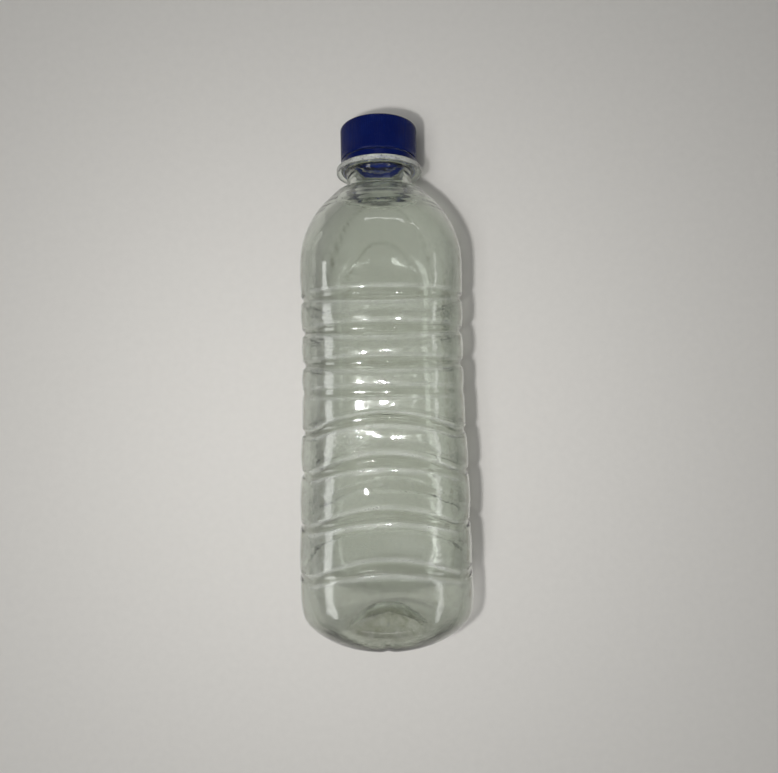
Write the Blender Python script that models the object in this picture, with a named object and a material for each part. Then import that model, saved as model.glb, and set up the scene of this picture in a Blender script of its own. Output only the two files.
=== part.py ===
"""Dented water bottle with its screw cap on, lying on one face.

The bottle's axis runs along +Y, from the base to the cap. Lengths are in millimetres until
build_object() turns them into metres. A station is one ring of the bottle's skin, at a given
height above the base.
"""
import math

import bmesh
import bpy
import numpy as np

MM = 0.001

# Whole bottle
TOTAL_LENGTH = 193.6        # base plane to cap top
AXIS_HEIGHT = 32.0          # the axis above the surface that the bottle lies on
SIDES = 40                  # points round the body: a multiple of 8, so that corners are points

# Blown body, a rounded square in section that is round at the base and the neck
BASE_HALF_WIDTH = 31.9      # widest, just above the heel
WAIST_HALF_WIDTH = 29.5     # narrowest, among the upper ribs
TOP_HALF_WIDTH = 30.0       # at the foot of the shoulder
WAIST_HEIGHT = 112.0
TAPER_FOOT = 19.0           # the body starts to narrow here
SQUARENESS = 4.0            # exponent of the superellipse: 2 is a circle
SQUARE_FROM = (1.0, 22.0)   # heights over which the section turns from round to square
ROUND_FROM = (137.0, 163.0)     # and back to round
HEEL_HEIGHT = 13.0
FOOT_RADIUS = 18.5          # outer edge of the flat ring that the bottle stands on
PUNT_RADIUS = 14.6
PUNT_HEIGHT = 7.5
PRESSED_FROM = (4.0, 13.0)  # heights over which the face underneath turns straight
PRESSED_TO = (137.0, 168.0)     # and rises from the surface again
SHOULDER_HEIGHT = 137.0     # where the shoulder starts, above the base
CONE_FOOT = 163.0           # from here up the shoulder is a cone of 45 degrees
CONE_TIP = 172.8            # the cone would meet the neck here
CREST_HEIGHT = 168.0        # but it ends in a crest, and a ledge runs in to the neck
LEDGE_TOP = 170.0           # the ledge meets the neck

# Shares of a curve at which its stations lie
PUNT_SHARES = (0.35, 0.65, 0.88)
HEEL_SHARES = (0.17, 0.33, 0.5, 0.67, 0.83, 1.0)
SHOULDER_SHARES = (0.0, 0.16, 0.3, 0.43, 0.55, 0.7, 0.85, 1.0)
CAP_EDGE_SHARES = (0.33, 0.67, 1.0)

# Ribs: height above the base at the body's corners, and depth
STRAIGHT_RIBS = ((125.3, 1.2), (113.5, 1.2), (101.8, 1.3), (91.8, 0.45))
ARCHED_RIBS = ((77.6, 1.3), (62.9, 1.25), (44.6, 1.3), (27.1, 1.0))
RIB_HALF_WIDTH = 2.7
CROWN = 0.35                # how far the skin swells between two ribs
ARCH_RISE = 5.7             # how far an arched rib climbs at the middle of the upper and lower face
ARCH_POWER = 1.5            # above 1, the climb gathers at the middle
ARCH_FROM = (11.0, 24.0)    # heights over which the climb sets in
ARCH_TO = (78.5, 91.0)      # and dies away

# Sunk panel with a rounded top, on the upper and the lower face of the shoulder
PANEL_HALF_WIDTH = 18.0
PANEL_FOOT = (127.0, 133.0)     # heights over which it sets in
PANEL_RISE = 30.0
PANEL_EDGE = (0.8, 1.0)     # share of the way out to its edge over which it ends
PANEL_DEPTH = 0.65

# Walls
BODY_WALL = 0.4
BASE_WALL = 1.5
BASE_THINS = 10.0           # the base's wall thins over this much radius outside the foot ring
CREST_WALL = 0.6            # at the crest below the neck
CREST_FROM = (158.0, 168.0)     # heights over which the wall thickens to it

# Neck finish, a turned shape
NECK_RADIUS = 12.5
RING_RADIUS = 16.5
RING_BOTTOM = 176.05
RING_TOP = 177.95
RING_EDGE = 0.4             # chamfer on the ring's rim
BEAD_RADIUS = 13.9          # the bead that holds the tamper band down
BEAD_BOTTOM = 181.1
BEAD_TOP = 182.2
MOUTH_HEIGHT = 191.9
MOUTH_ROUND = 0.6
BORE_RADIUS = 10.87
ROOT_BORE = 9.35            # the bore narrows to this at its lower end
ROOT_HEIGHT = 170.0
INNER_LEDGE_FOOT = 167.6    # inside, the cone's skin ends here and the ledge begins
BORE_TAPER = (175.0, 180.0)     # heights over which the bore widens

# Closure
GAP = 0.3                   # between pieces that touch
CAP_RADIUS = 14.75
CAP_EDGE_ROUND = 1.1
BAND_TOP = 180.8
CAP_BOTTOM = BAND_TOP + GAP
CAP_CEILING = MOUTH_HEIGHT + GAP
CAP_INNER_RADIUS = 13.2
BEAD_CLEARANCE = 0.6        # the cap's bore narrows this far above the bead
PLUG_RADIUS = BORE_RADIUS - GAP
PLUG_WALL = 1.2
PLUG_LENGTH = 3.2
PLUG_CHAMFER = 0.4
BAND_INNER_RADIUS = 13.3
BAND_CHAMFER = 0.5
BAND_TAPER = 0.15
CAP_SIDES = 60
SHARP_ANGLE = 32.0          # edges sharper than this are shaded flat

# Plain colours
CLEAR_PET = (0.78, 0.79, 0.76)
BLUE_PP = (0.0, 0.02, 0.25)

# Crush damage: shallow dents: height, angle round the axis from +X towards +Z, reach along and
# across, depth
DENTS = (
    (36.0, 52.0, 17.0, 13.0, 1.7),      # lower right, above the heel
    (151.0, 118.0, 10.0, 8.0, 1.3),     # left of the shoulder
    (96.0, 60.0, 12.0, 12.0, 0.7),      # waist, right of the upper face
    (74.0, 101.0, 7.0, 7.0, 0.35),      # upper face, left of its middle
    (64.0, 196.0, 14.0, 12.0, 1.2),     # left side
    (118.0, 335.0, 16.0, 12.0, 1.4),    # right side, low
)


def smooth(span, value):
    """Go from 0 at the span's start to 1 at its end, level at both."""
    t = np.clip((value - span[0]) / (span[1] - span[0]), 0.0, 1.0)
    return t * t * (3.0 - 2.0 * t)


def body_half_width(height):
    """Half the width across the faces between the heel and the shoulder, without the ribs."""
    if height < WAIST_HEIGHT:
        t = smooth((TAPER_FOOT, WAIST_HEIGHT), height)
        return BASE_HALF_WIDTH + (WAIST_HALF_WIDTH - BASE_HALF_WIDTH) * t
    t = smooth((WAIST_HEIGHT, SHOULDER_HEIGHT), height)
    return WAIST_HALF_WIDTH + (TOP_HALF_WIDTH - WAIST_HALF_WIDTH) * t


def base_stations():
    """Punt, foot ring and heel, from the middle of the base outwards: (height, half width)."""
    rows = []
    for share in PUNT_SHARES:
        rows.append((PUNT_HEIGHT * (1.0 - share * share), PUNT_RADIUS * share))
    rows.append((0.0, PUNT_RADIUS))
    rows.append((0.0, FOOT_RADIUS))
    for share in HEEL_SHARES:
        a = share * math.pi / 2.0
        rows.append((HEEL_HEIGHT * (1.0 - math.cos(a)),
                     FOOT_RADIUS + (BASE_HALF_WIDTH - FOOT_RADIUS) * math.sin(a)))
    return rows


def body_stations():
    """Rib edges, rib bottoms and the crown between two ribs: (height, half width)."""
    rows = []
    ribs = sorted(ARCHED_RIBS + STRAIGHT_RIBS)
    for i, (centre, depth) in enumerate(ribs):
        rows.append((centre - RIB_HALF_WIDTH, body_half_width(centre - RIB_HALF_WIDTH)))
        rows.append((centre, body_half_width(centre) - depth))
        rows.append((centre + RIB_HALF_WIDTH, body_half_width(centre + RIB_HALF_WIDTH)))
        if i + 1 < len(ribs):
            crown = (centre + ribs[i + 1][0]) / 2.0
            rows.append((crown, body_half_width(crown) + CROWN))
    return rows


def shoulder_stations():
    """Part of an ellipse, a cone of 45 degrees up to the crest, and the ledge: (height, half width).

    The ellipse has the slope of the cone where they meet. Its two legs there are run along the
    axis and drop across it, and share is the cosine of its parameter at that point.
    """
    run = CONE_FOOT - SHOULDER_HEIGHT
    drop = TOP_HALF_WIDTH - NECK_RADIUS - (CONE_TIP - CONE_FOOT)
    share = drop / (run - drop)
    length = run / math.sqrt(1.0 - share * share)
    depth = run * share / (1.0 - share * share)
    rows = []
    for part in SHOULDER_SHARES:
        a = part * math.acos(share)
        rows.append((SHOULDER_HEIGHT + length * math.sin(a), TOP_HALF_WIDTH - depth * (1.0 - math.cos(a))))
    for height in (0.5 * (CONE_FOOT + CREST_HEIGHT), CREST_HEIGHT):
        rows.append((height, NECK_RADIUS + CONE_TIP - height))
    return rows


def finish_stations():
    """Top of the ledge, support ring, bead and mouth, outside: (height, radius)."""
    return [
        (LEDGE_TOP, NECK_RADIUS),
        (RING_BOTTOM - RING_EDGE, NECK_RADIUS),
        (RING_BOTTOM, RING_RADIUS - RING_EDGE),
        (RING_BOTTOM + RING_EDGE, RING_RADIUS),
        (RING_TOP - RING_EDGE, RING_RADIUS),
        (RING_TOP, RING_RADIUS - RING_EDGE),
        (RING_TOP, NECK_RADIUS),
        (BEAD_BOTTOM, NECK_RADIUS),
        (BEAD_BOTTOM, BEAD_RADIUS),
        (BEAD_BOTTOM + RING_EDGE, BEAD_RADIUS),
        (BEAD_TOP, NECK_RADIUS),
        (MOUTH_HEIGHT - MOUTH_ROUND, NECK_RADIUS),
        (MOUTH_HEIGHT, NECK_RADIUS - MOUTH_ROUND),
    ]


def wall_at(height, width):
    """Wall thickness: thick in the base, thin in the body, a little thicker at the crest."""
    in_base = height < SHOULDER_HEIGHT
    base = (BASE_WALL - BODY_WALL) * (1.0 - smooth((FOOT_RADIUS, FOOT_RADIUS + BASE_THINS), width))
    crest = (CREST_WALL - BODY_WALL) * smooth(CREST_FROM, height)
    return BODY_WALL + np.where(in_base, base, crest)


def inner_stations(blown):
    """Offset the blown part's stations inwards by the wall, square to the profile."""
    line = np.array([(PUNT_HEIGHT, 0.0)] + list(blown))
    along = np.gradient(line, axis=0)
    along /= np.linalg.norm(along, axis=1)[:, None]
    wall = wall_at(line[:, 0], line[:, 1])
    heights = line[:, 0] + wall * along[:, 1]
    widths = line[:, 1] - wall * along[:, 0]
    rows = list(zip(heights, widths))[1:]
    below = [(h, r) for h, r in rows if h < INNER_LEDGE_FOOT]
    crest_inside = NECK_RADIUS + CONE_TIP - INNER_LEDGE_FOOT - CREST_WALL * math.sqrt(2.0)
    return below + [(INNER_LEDGE_FOOT, crest_inside)]


def panel_depth(level, across):
    """How far the shoulder panel is sunk here. Its edge is half an ellipse above its foot."""
    rise = max(level - PANEL_FOOT[0], 0.0) / PANEL_RISE
    out = np.sqrt(rise ** 2 + (across / PANEL_HALF_WIDTH) ** 2)
    return PANEL_DEPTH * smooth(PANEL_FOOT, level) * (1.0 - smooth(PANEL_EDGE, out))


def ring_points(height, width):
    """One ring of skin points: a superellipse that arches, and sinks in at panels and dents."""
    angle = np.arange(SIDES) * (2.0 * math.pi / SIDES)
    cos, sin = np.cos(angle), np.sin(angle)
    square = smooth(SQUARE_FROM, height) * (1.0 - smooth(ROUND_FROM, height))
    power = 2.0 + (SQUARENESS - 2.0) * square
    reach = (np.abs(cos) ** power + np.abs(sin) ** power) ** (-1.0 / power)
    # arched ribs climb at the middle of the upper and the lower face
    on_face = np.abs(sin) > np.abs(cos)
    fade = (ARCH_TO[1] - height) / (ARCH_TO[1] - ARCH_TO[0])
    arched = smooth(ARCH_FROM, height) * min(max(fade, 0.0), 1.0)
    middle = np.where(on_face, np.abs(np.cos(2.0 * angle)) / np.maximum(sin * sin, 0.5), 0.0) ** ARCH_POWER
    climb = height + ARCH_RISE * arched * middle
    sunk = np.where(on_face, panel_depth(height, width * reach * cos), 0.0)
    x = (width - sunk) * reach * cos
    z = (width - sunk) * reach * sin
    # dents push the skin towards the axis
    for centre, direction, along, across, depth in DENTS:
        turn = np.angle(np.exp(1j * (angle - math.radians(direction))))
        away = ((climb - centre) / along) ** 2 + (turn * width / across) ** 2
        push = depth * np.exp(-away) * square
        x -= push * cos
        z -= push * sin
    # the face underneath is pressed straight, so it lies on the surface all along
    pressed = smooth(PRESSED_FROM, height) * (1.0 - smooth(PRESSED_TO, height))
    plain = BASE_HALF_WIDTH if height < HEEL_HEIGHT else body_half_width(min(height, SHOULDER_HEIGHT))
    z = np.where(z < 0.0, z * (1.0 + pressed * (BASE_HALF_WIDTH / plain - 1.0)), z)
    z = np.maximum(z, -AXIS_HEIGHT)
    return np.stack([x, climb - TOTAL_LENGTH / 2.0, z + AXIS_HEIGHT], axis=1)


def pole_point(height):
    """The point on the axis at a height above the base."""
    return np.array([0.0, height - TOTAL_LENGTH / 2.0, AXIS_HEIGHT])


def skin_mesh(stations, first_pole, last_pole):
    """Join rings of points into one closed skin with a pole at each end."""
    bm = bmesh.new()
    rings = []
    for height, width in stations:
        rings.append([bm.verts.new(p * MM) for p in ring_points(height, width)])
    start = bm.verts.new(pole_point(first_pole) * MM)
    end = bm.verts.new(pole_point(last_pole) * MM)
    for i in range(SIDES):
        j = (i + 1) % SIDES
        bm.faces.new((start, rings[0][j], rings[0][i]))
        bm.faces.new((end, rings[-1][i], rings[-1][j]))
        for low, high in zip(rings, rings[1:]):
            bm.faces.new((low[i], low[j], high[j], high[i]))
    return bm


def spun_mesh(profile, sides):
    """Turn a closed profile of (height, radius) points about the bottle's axis."""
    bm = bmesh.new()
    verts = []
    for height, radius in profile:
        verts.append(bm.verts.new((radius * MM, (height - TOTAL_LENGTH / 2.0) * MM, AXIS_HEIGHT * MM)))
    edges = [bm.edges.new((a, b)) for a, b in zip(verts, verts[1:])]
    closed = all(r > 0.0 for h, r in profile)
    if closed:
        edges.append(bm.edges.new((verts[-1], verts[0])))
    bmesh.ops.spin(bm, geom=verts + edges, cent=(0.0, 0.0, AXIS_HEIGHT * MM), axis=(0.0, 1.0, 0.0),
                   angle=2.0 * math.pi, steps=sides, use_merge=True, use_normal_flip=False)
    bmesh.ops.remove_doubles(bm, verts=bm.verts, dist=1e-6)
    return bm


def build_object(name, bm, material, origin=(0.0, 0.0, 0.0)):
    """Make a named object from a mesh, with its origin where the piece turns."""
    bmesh.ops.recalc_face_normals(bm, faces=bm.faces)
    bmesh.ops.translate(bm, verts=bm.verts, vec=[-c for c in origin])
    mesh = bpy.data.meshes.new(name)
    bm.to_mesh(mesh)
    bm.free()
    mesh.shade_smooth()
    mesh.set_sharp_from_angle(angle=math.radians(SHARP_ANGLE))
    mesh.materials.append(material)
    obj = bpy.data.objects.new(name, mesh)
    obj.location = origin
    bpy.context.scene.collection.objects.link(obj)
    return obj


def plastic(name, colour, roughness, alpha=1.0):
    """A Principled material with the piece's own colour."""
    material = bpy.data.materials.new(name)
    material.use_nodes = True
    shader = material.node_tree.nodes["Principled BSDF"]
    shader.inputs["Base Color"].default_value = (*colour, 1.0)
    shader.inputs["Roughness"].default_value = roughness
    shader.inputs["Metallic"].default_value = 0.0
    shader.inputs["Alpha"].default_value = alpha
    return material


def build_bottle():
    """One stretch-blown skin: outside up to the mouth, then inside down to the base."""
    blown = base_stations() + body_stations() + shoulder_stations()
    bore = [
        (MOUTH_HEIGHT, BORE_RADIUS),
        (BORE_TAPER[1], BORE_RADIUS),
        (BORE_TAPER[0], ROOT_BORE),
        (ROOT_HEIGHT, ROOT_BORE),
    ]
    inside = inner_stations(blown)
    stations = blown + finish_stations() + bore + inside[::-1]
    bm = skin_mesh(stations, PUNT_HEIGHT, PUNT_HEIGHT + BASE_WALL)
    return build_object("bottle", bm, plastic("clear_pet", CLEAR_PET, 0.08, 0.35))


def build_cap(origin):
    """The closure: top, skirt with room for the bead, and the plug that seals the bore."""
    profile = [
        (CAP_CEILING, 0.0),
        (CAP_CEILING, PLUG_RADIUS - PLUG_WALL),
        (CAP_CEILING - PLUG_LENGTH, PLUG_RADIUS - PLUG_WALL + PLUG_CHAMFER),
        (CAP_CEILING - PLUG_LENGTH, PLUG_RADIUS - PLUG_CHAMFER),
        (CAP_CEILING - PLUG_LENGTH + PLUG_CHAMFER, PLUG_RADIUS),
        (CAP_CEILING, PLUG_RADIUS),
        (CAP_CEILING, CAP_INNER_RADIUS),
        (BEAD_TOP + BEAD_CLEARANCE, CAP_INNER_RADIUS),
        (BEAD_TOP, BEAD_RADIUS + GAP),
        (CAP_BOTTOM, BEAD_RADIUS + GAP),
        (CAP_BOTTOM, CAP_RADIUS),
        (TOTAL_LENGTH - CAP_EDGE_ROUND, CAP_RADIUS),
    ]
    for share in CAP_EDGE_SHARES:
        a = share * math.pi / 2.0
        profile.append((TOTAL_LENGTH - CAP_EDGE_ROUND * (1.0 - math.sin(a)),
                        CAP_RADIUS - CAP_EDGE_ROUND * (1.0 - math.cos(a))))
    profile.append((TOTAL_LENGTH, 0.0))
    blue = plastic("blue_pp", BLUE_PP, 0.35)
    return build_object("cap", spun_mesh(profile, CAP_SIDES), blue, origin)


def build_tamper_band(origin):
    """The loose ring that stays under the bead once the cap has been opened."""
    profile = [
        (RING_TOP + GAP, BAND_INNER_RADIUS + BAND_CHAMFER),
        (BAND_TOP - BAND_CHAMFER, BAND_INNER_RADIUS),
        (BAND_TOP, BAND_INNER_RADIUS + BAND_CHAMFER),
        (BAND_TOP, CAP_RADIUS - BAND_TAPER),
        (RING_TOP + GAP, CAP_RADIUS),
    ]
    blue = plastic("blue_pp_band", BLUE_PP, 0.4)
    return build_object("tamper_band", spun_mesh(profile, CAP_SIDES), blue, origin)


def main():
    for obj in list(bpy.data.objects):
        bpy.data.objects.remove(obj, do_unlink=True)
    build_bottle()
    turning_axis = (0.0, 0.0, AXIS_HEIGHT * MM)
    build_tamper_band(turning_axis)
    build_cap(turning_axis)


main()
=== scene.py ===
# Looks of a lightly crushed water bottle: its clear blown skin, screw cap and tamper band.
# Shapes are in millimetres, and heights are counted along the bottle from its base.
import math

import bpy
import numpy as np
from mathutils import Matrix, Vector


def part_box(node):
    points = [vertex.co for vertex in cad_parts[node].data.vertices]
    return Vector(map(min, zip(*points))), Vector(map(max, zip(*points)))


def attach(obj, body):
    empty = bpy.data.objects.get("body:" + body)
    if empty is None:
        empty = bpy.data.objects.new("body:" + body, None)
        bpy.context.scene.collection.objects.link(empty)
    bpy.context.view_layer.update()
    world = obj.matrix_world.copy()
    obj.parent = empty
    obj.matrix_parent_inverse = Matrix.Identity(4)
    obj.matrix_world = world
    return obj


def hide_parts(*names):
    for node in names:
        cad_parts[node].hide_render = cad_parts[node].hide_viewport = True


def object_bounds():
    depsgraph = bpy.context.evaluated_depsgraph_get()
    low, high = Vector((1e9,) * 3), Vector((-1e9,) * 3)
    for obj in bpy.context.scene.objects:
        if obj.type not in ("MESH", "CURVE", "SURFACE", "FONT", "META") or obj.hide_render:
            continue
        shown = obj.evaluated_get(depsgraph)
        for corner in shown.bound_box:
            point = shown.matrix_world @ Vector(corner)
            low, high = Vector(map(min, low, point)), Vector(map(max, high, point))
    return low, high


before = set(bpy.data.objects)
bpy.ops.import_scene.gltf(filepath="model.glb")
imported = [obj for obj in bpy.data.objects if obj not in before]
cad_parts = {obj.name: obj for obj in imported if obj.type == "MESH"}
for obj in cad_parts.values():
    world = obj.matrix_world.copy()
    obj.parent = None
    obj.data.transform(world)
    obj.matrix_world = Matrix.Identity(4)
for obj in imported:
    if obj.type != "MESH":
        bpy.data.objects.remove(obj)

mm = 0.001
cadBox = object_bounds()
capLow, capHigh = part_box("cap")
axisHeight = (capLow.z + capHigh.z) / 2.0 / mm        # the bottle's axis above the floor
totalLength = (cadBox[1].y - cadBox[0].y) / mm        # base to cap top
baseY = cadBox[0].y / mm                              # where the base stands on the Y axis


def ease(low, high, value):
    t = np.clip((value - low) / (high - low), 0.0, 1.0)
    return t * t * (3.0 - 2.0 * t)


def directions(count):
    # evenly spaced directions round the bottle's axis, from +X towards +Z, as one row
    return (np.arange(count) * (2.0 * math.pi / count))[None, :]


def linearColour(text, alpha=1.0):
    # sRGB hex to the linear values that a shader takes
    parts = [int(text[i:i + 2], 16) / 255.0 for i in (1, 3, 5)]
    linear = [c / 12.92 if c <= 0.04045 else ((c + 0.055) / 1.055) ** 2.4 for c in parts]
    return (*linear, alpha)


def addNode(tree, kind, settings=None, links=None):
    # one node, with its sockets and options set and its inputs linked
    node = tree.nodes.new(kind)
    for key, value in (settings or {}).items():
        if isinstance(key, int) or key in node.inputs:
            node.inputs[key].default_value = value
        else:
            setattr(node, key, value)
    for key, source in (links or {}).items():
        tree.links.new(source, node.inputs[key])
    return node


def noiseScale(size):
    # cycles a metre of a pattern whose features are this many millimetres across
    return 1.0 / (size * mm)


def newMaterial(name):
    material = bpy.data.materials.new(name)
    material.use_nodes = True
    material.node_tree.nodes.clear()
    return material, material.node_tree


def denseLine(corners, step):
    # a polyline with a point at each corner and at most one step between two points
    points = []
    for (h0, r0), (h1, r1) in zip(corners, corners[1:]):
        count = max(1, math.ceil(math.hypot(h1 - h0, r1 - r0) / step))
        t = np.arange(count) / count
        points.append(np.stack([h0 + (h1 - h0) * t, r0 + (r1 - r0) * t], axis=1))
    points.append(np.array([corners[-1]]))
    return np.concatenate(points)


def gridMesh(name, grid, sharpAngle, poles=None):
    # rings of points joined into one closed skin: a pole closes each end, or, where no poles are
    # given, the last ring is joined to the first
    rows, columns = grid.shape[:2]
    ring = np.arange(columns)
    nextRing = (ring + 1) % columns
    lower = np.arange(rows if poles is None else rows - 1)[:, None] * columns
    upper = (lower + columns) % (rows * columns)
    quads = np.stack([lower + ring, upper + ring, upper + nextRing, lower + nextRing], axis=2)
    faces = quads.reshape(-1, 4).tolist()
    verts = grid.reshape(-1, 3)
    if poles is not None:
        verts = np.concatenate([verts, poles])
        top, pole = (rows - 1) * columns, np.full(columns, rows * columns)
        faces += np.stack([pole, ring, nextRing], axis=1).tolist()
        faces += np.stack([pole + 1, top + nextRing, top + ring], axis=1).tolist()
    mesh = bpy.data.meshes.new(name)
    mesh.from_pydata(verts * mm, [], faces)
    mesh.shade_smooth()
    mesh.set_sharp_from_angle(angle=math.radians(sharpAngle))
    piece = bpy.data.objects.new(name, mesh)
    bpy.context.scene.collection.objects.link(piece)
    return piece


def addMask(piece, name, values):
    # a number at each vertex that the material reads; poles get 0
    padding = np.zeros(len(piece.data.vertices) - values.size)
    mask = piece.data.attributes.new(name, "FLOAT", "POINT")
    mask.data.foreach_set("value", np.append(values.ravel(), padding).astype(np.float32))


cameraSetting = {
    "aboveAxis": 225.8,       # lens above the bottle's axis
    "sideways": 2.1,          # from the axis towards +X
    "fromBase": 93.7,         # along the bottle
    "roll": -1.18,            # degrees: the neck leans to the left of the view
    "lens": 26.84,
    "sensor": 36.0,
}


def placeCamera():
    c = cameraSetting
    data = bpy.data.cameras.new("overheadCamera")
    data.lens = c["lens"]
    data.sensor_width = c["sensor"]
    data.clip_start = 0.01
    data.clip_end = 20.0
    camera = bpy.data.objects.new("overheadCamera", data)
    camera.location = (c["sideways"] * mm, (baseY + c["fromBase"]) * mm,
                       (axisHeight + c["aboveAxis"]) * mm)
    camera.rotation_euler = (0.0, 0.0, math.radians(c["roll"]))
    bpy.context.scene.collection.objects.link(camera)
    bpy.context.scene.camera = camera
    return camera


camera = placeCamera()
print("camera placed")


# heights and radii of the blown part. A pair is where an easing starts and where it ends.
bottleShape = {
    # points in a ring, the angle in degrees past which an edge is sharp, and the height from which
    # the inside has only half the rings
    "columns": 184, "sharpAngle": 44.0, "thinFrom": 16.0,
    # the body: half its width across the faces, and a section that is round at both ends
    "baseHalfWidth": 31.9, "waistHalfWidth": 29.5, "topHalfWidth": 30.0,
    "taperFoot": 19.0, "waistHeight": 112.0,
    "squareness": 4.0, "squareFrom": (1.0, 22.0), "roundFrom": (137.0, 163.0),
    "slack": 0.07,
    # the base
    "heelHeight": 13.0, "footRadius": 18.5, "puntRadius": 14.6, "puntHeight": 7.5, "puntRound": 0.4,
    "notchDepth": 0.55, "notchWidth": 1.4, "notchFrom": (8.0, 14.0), "notchTo": (1.5, 6.0),
    # the face underneath: pressed straight between these heights, held this far above the floor,
    # its inside above it by this share of the wall, and rounded where it meets the floor
    "pressedFrom": (4.0, 13.0), "pressedTo": (137.0, 168.0),
    "floorGap": 0.02, "floorWall": 0.9, "floorRound": 0.04,
    # the shoulder: a curve, a cone that would end at its tip, and a crest short of it
    "shoulderHeight": 137.0, "coneFoot": 163.0, "coneTip": 172.8, "crestHeight": 168.0,
    "rippleFrom": (149.5, 166.5), "rippleDepth": 0.05, "rippleLength": 2.3,
    # ribs: height at the corners and depth
    "straightRibs": ((125.3, 1.2), (113.5, 1.2), (101.8, 1.3), (91.8, 0.45)),
    "archedRibs": ((77.6, 1.3), (62.9, 1.25), (44.6, 1.3), (27.1, 1.0)),
    "ribNarrow": 1.7, "ribWiden": 1.0, "ribFloor": 0.45, "ribSide": 0.6, "lipWidth": 0.7,
    "archRise": 5.7, "archFrom": (11.0, 24.0), "archTo": (78.5, 91.0),
    # swelling of the skin between two ribs, more of it higher up
    "crown": 0.25, "crownGain": 0.4, "crownFrom": (45.0, 65.0), "levelPanel": (80.6, 89.0, 0.03),
    # the arched panel of the shoulder
    "panelHalfWidth": 18.0, "panelRise": 30.0,
    "panelFoot": (127.0, 133.0), "panelTop": (141.0, 154.0),
    "panelDepth": 0.65, "panelEdge": 1.2, "panelLine": 0.45,
    # walls
    "bodyWall": 0.38, "baseWall": 1.5, "baseThins": 10.0, "crestGain": 0.10, "crestFrom": 161.5,
    # the neck's wall, and the bore's lower rim, from which a ledge runs out to the cone's inside
    "neckRadius": 12.5, "boreRadius": 10.87,
    "rootBore": 9.35, "rootHeight": 170.0, "ledgeDrop": 2.7,
    # dust: everywhere, at the corners, on the crowns, on the lips of the ribs, and the share of it
    # that is missing near the neck. On the lips it is partly a painted highlight, standing in for
    # the glints along the ribs.
    "dustPlain": 0.25, "dustCorner": 0.5, "dustCrown": 0.5, "lipDustAndSheen": 0.5, "dustSpared": 0.8,
    # scuffs on the lips of the ribs, partly a painted highlight along them, and where they get
    # fewer
    "lipScuffAndSheen": 0.4, "scuffAndSheenFades": (80.0, 90.0),
    # painted shade: darker colour in the grooves, in a line along each corner (direction and
    # spread in degrees), round the panel, and in the base (in the punt by radius, round the heel
    # by height)
    "paintedShadeGroove": 0.35, "paintedShadeLine": 1.0, "paintedShadeCorner": 37.0, "paintedShadeSpread": 2.2,
    "paintedShadePanel": 0.9, "paintedShadeBase": 1.0,
    "paintedShadePunt": (10.95, 24.5), "paintedShadeHeel": (2.0, 20.0), "paintedShadeEnds": 15.0,
}

# dents: height, direction round the axis in degrees from +X to +Z, reach along and across, depth
dents = (
    (36.0, 52.0, 17.0, 13.0, 1.7),
    (151.0, 118.0, 10.0, 8.0, 1.3),
    (96.0, 60.0, 12.0, 12.0, 0.7),
    (73.0, 101.0, 3.2, 3.6, 0.45),
    (60.5, 102.0, 3.0, 3.4, 0.55),
    (50.0, 103.0, 2.8, 3.4, 0.65),
    (133.5, 79.0, 2.6, 3.0, 0.35),
    (132.0, 116.0, 3.0, 2.6, 0.40),
    (64.0, 196.0, 14.0, 12.0, 1.2),
    (118.0, 335.0, 16.0, 12.0, 1.4),
)

# creases: height and direction of both ends, width of the fold, depth. The ridge beside a fold
# has this share of its depth, and lies this many fold widths away.
ridgeShare, ridgeOffset = 0.35, 2.2
creases = (
    (160.0, 112.0, 143.0, 127.0, 0.9, 0.55),
    (55.0, 104.0, 51.0, 96.0, 0.8, 0.35),
    (52.0, 101.0, 49.5, 93.0, 0.7, 0.25),
    (35.0, 66.0, 30.0, 40.0, 1.3, 0.45),
    (40.0, 60.0, 52.0, 35.0, 1.2, 0.3),
    (70.0, 205.0, 57.0, 186.0, 1.6, 0.35),
    (112.0, 345.0, 124.0, 322.0, 1.3, 0.6),
    (24.0, 250.0, 34.0, 285.0, 1.8, 0.3),
)


def bodyHalfWidth(height):
    # widest above the heel, easing to the waist and out again to the shoulder
    s = bottleShape
    down = ease(s["taperFoot"], s["waistHeight"], height)
    up = ease(s["waistHeight"], s["shoulderHeight"], height)
    low = s["baseHalfWidth"] + (s["waistHalfWidth"] - s["baseHalfWidth"]) * down
    return low + (s["topHalfWidth"] - s["waistHalfWidth"]) * up


def roundedRamp(value, softness):
    # half of (value + root of its square plus a bit): 0 below zero and the value above, smoothly
    return 0.5 * (value + np.sqrt(value * value + softness))


def puntLine():
    # the punt is a paraboloid that is rounded into the foot ring
    s = bottleShape
    r = np.linspace(0.25, s["footRadius"], 34)
    height = roundedRamp(s["puntHeight"] * (1.0 - (r / s["puntRadius"]) ** 2), s["puntRound"])
    return np.stack([height - height[-1], r], axis=1)


def heelLine():
    # a quarter ellipse from the foot ring out to the widest place
    s = bottleShape
    a = np.linspace(0.0, math.pi / 2.0, 20)[1:]
    return np.stack([s["heelHeight"] * (1.0 - np.cos(a)),
                     s["footRadius"] + (s["baseHalfWidth"] - s["footRadius"]) * np.sin(a)], axis=1)


def bodyLine():
    # rows every 1.3 mm or less, closer across each rib
    s = bottleShape
    marks = [s["heelHeight"] + 0.5, s["shoulderHeight"]]
    for centre, _ in s["archedRibs"] + s["straightRibs"]:
        marks += list(centre + np.linspace(-3.0, 3.0, 13))
    marks = np.array(sorted(marks))
    counts = [max(1, math.ceil((hi - lo) / 1.3)) for lo, hi in zip(marks, marks[1:])]
    spans = [np.linspace(lo, hi, n + 1)[:-1] for lo, hi, n in zip(marks, marks[1:], counts)]
    heights = np.concatenate(spans)
    return np.stack([heights, bodyHalfWidth(heights)], axis=1)


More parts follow.
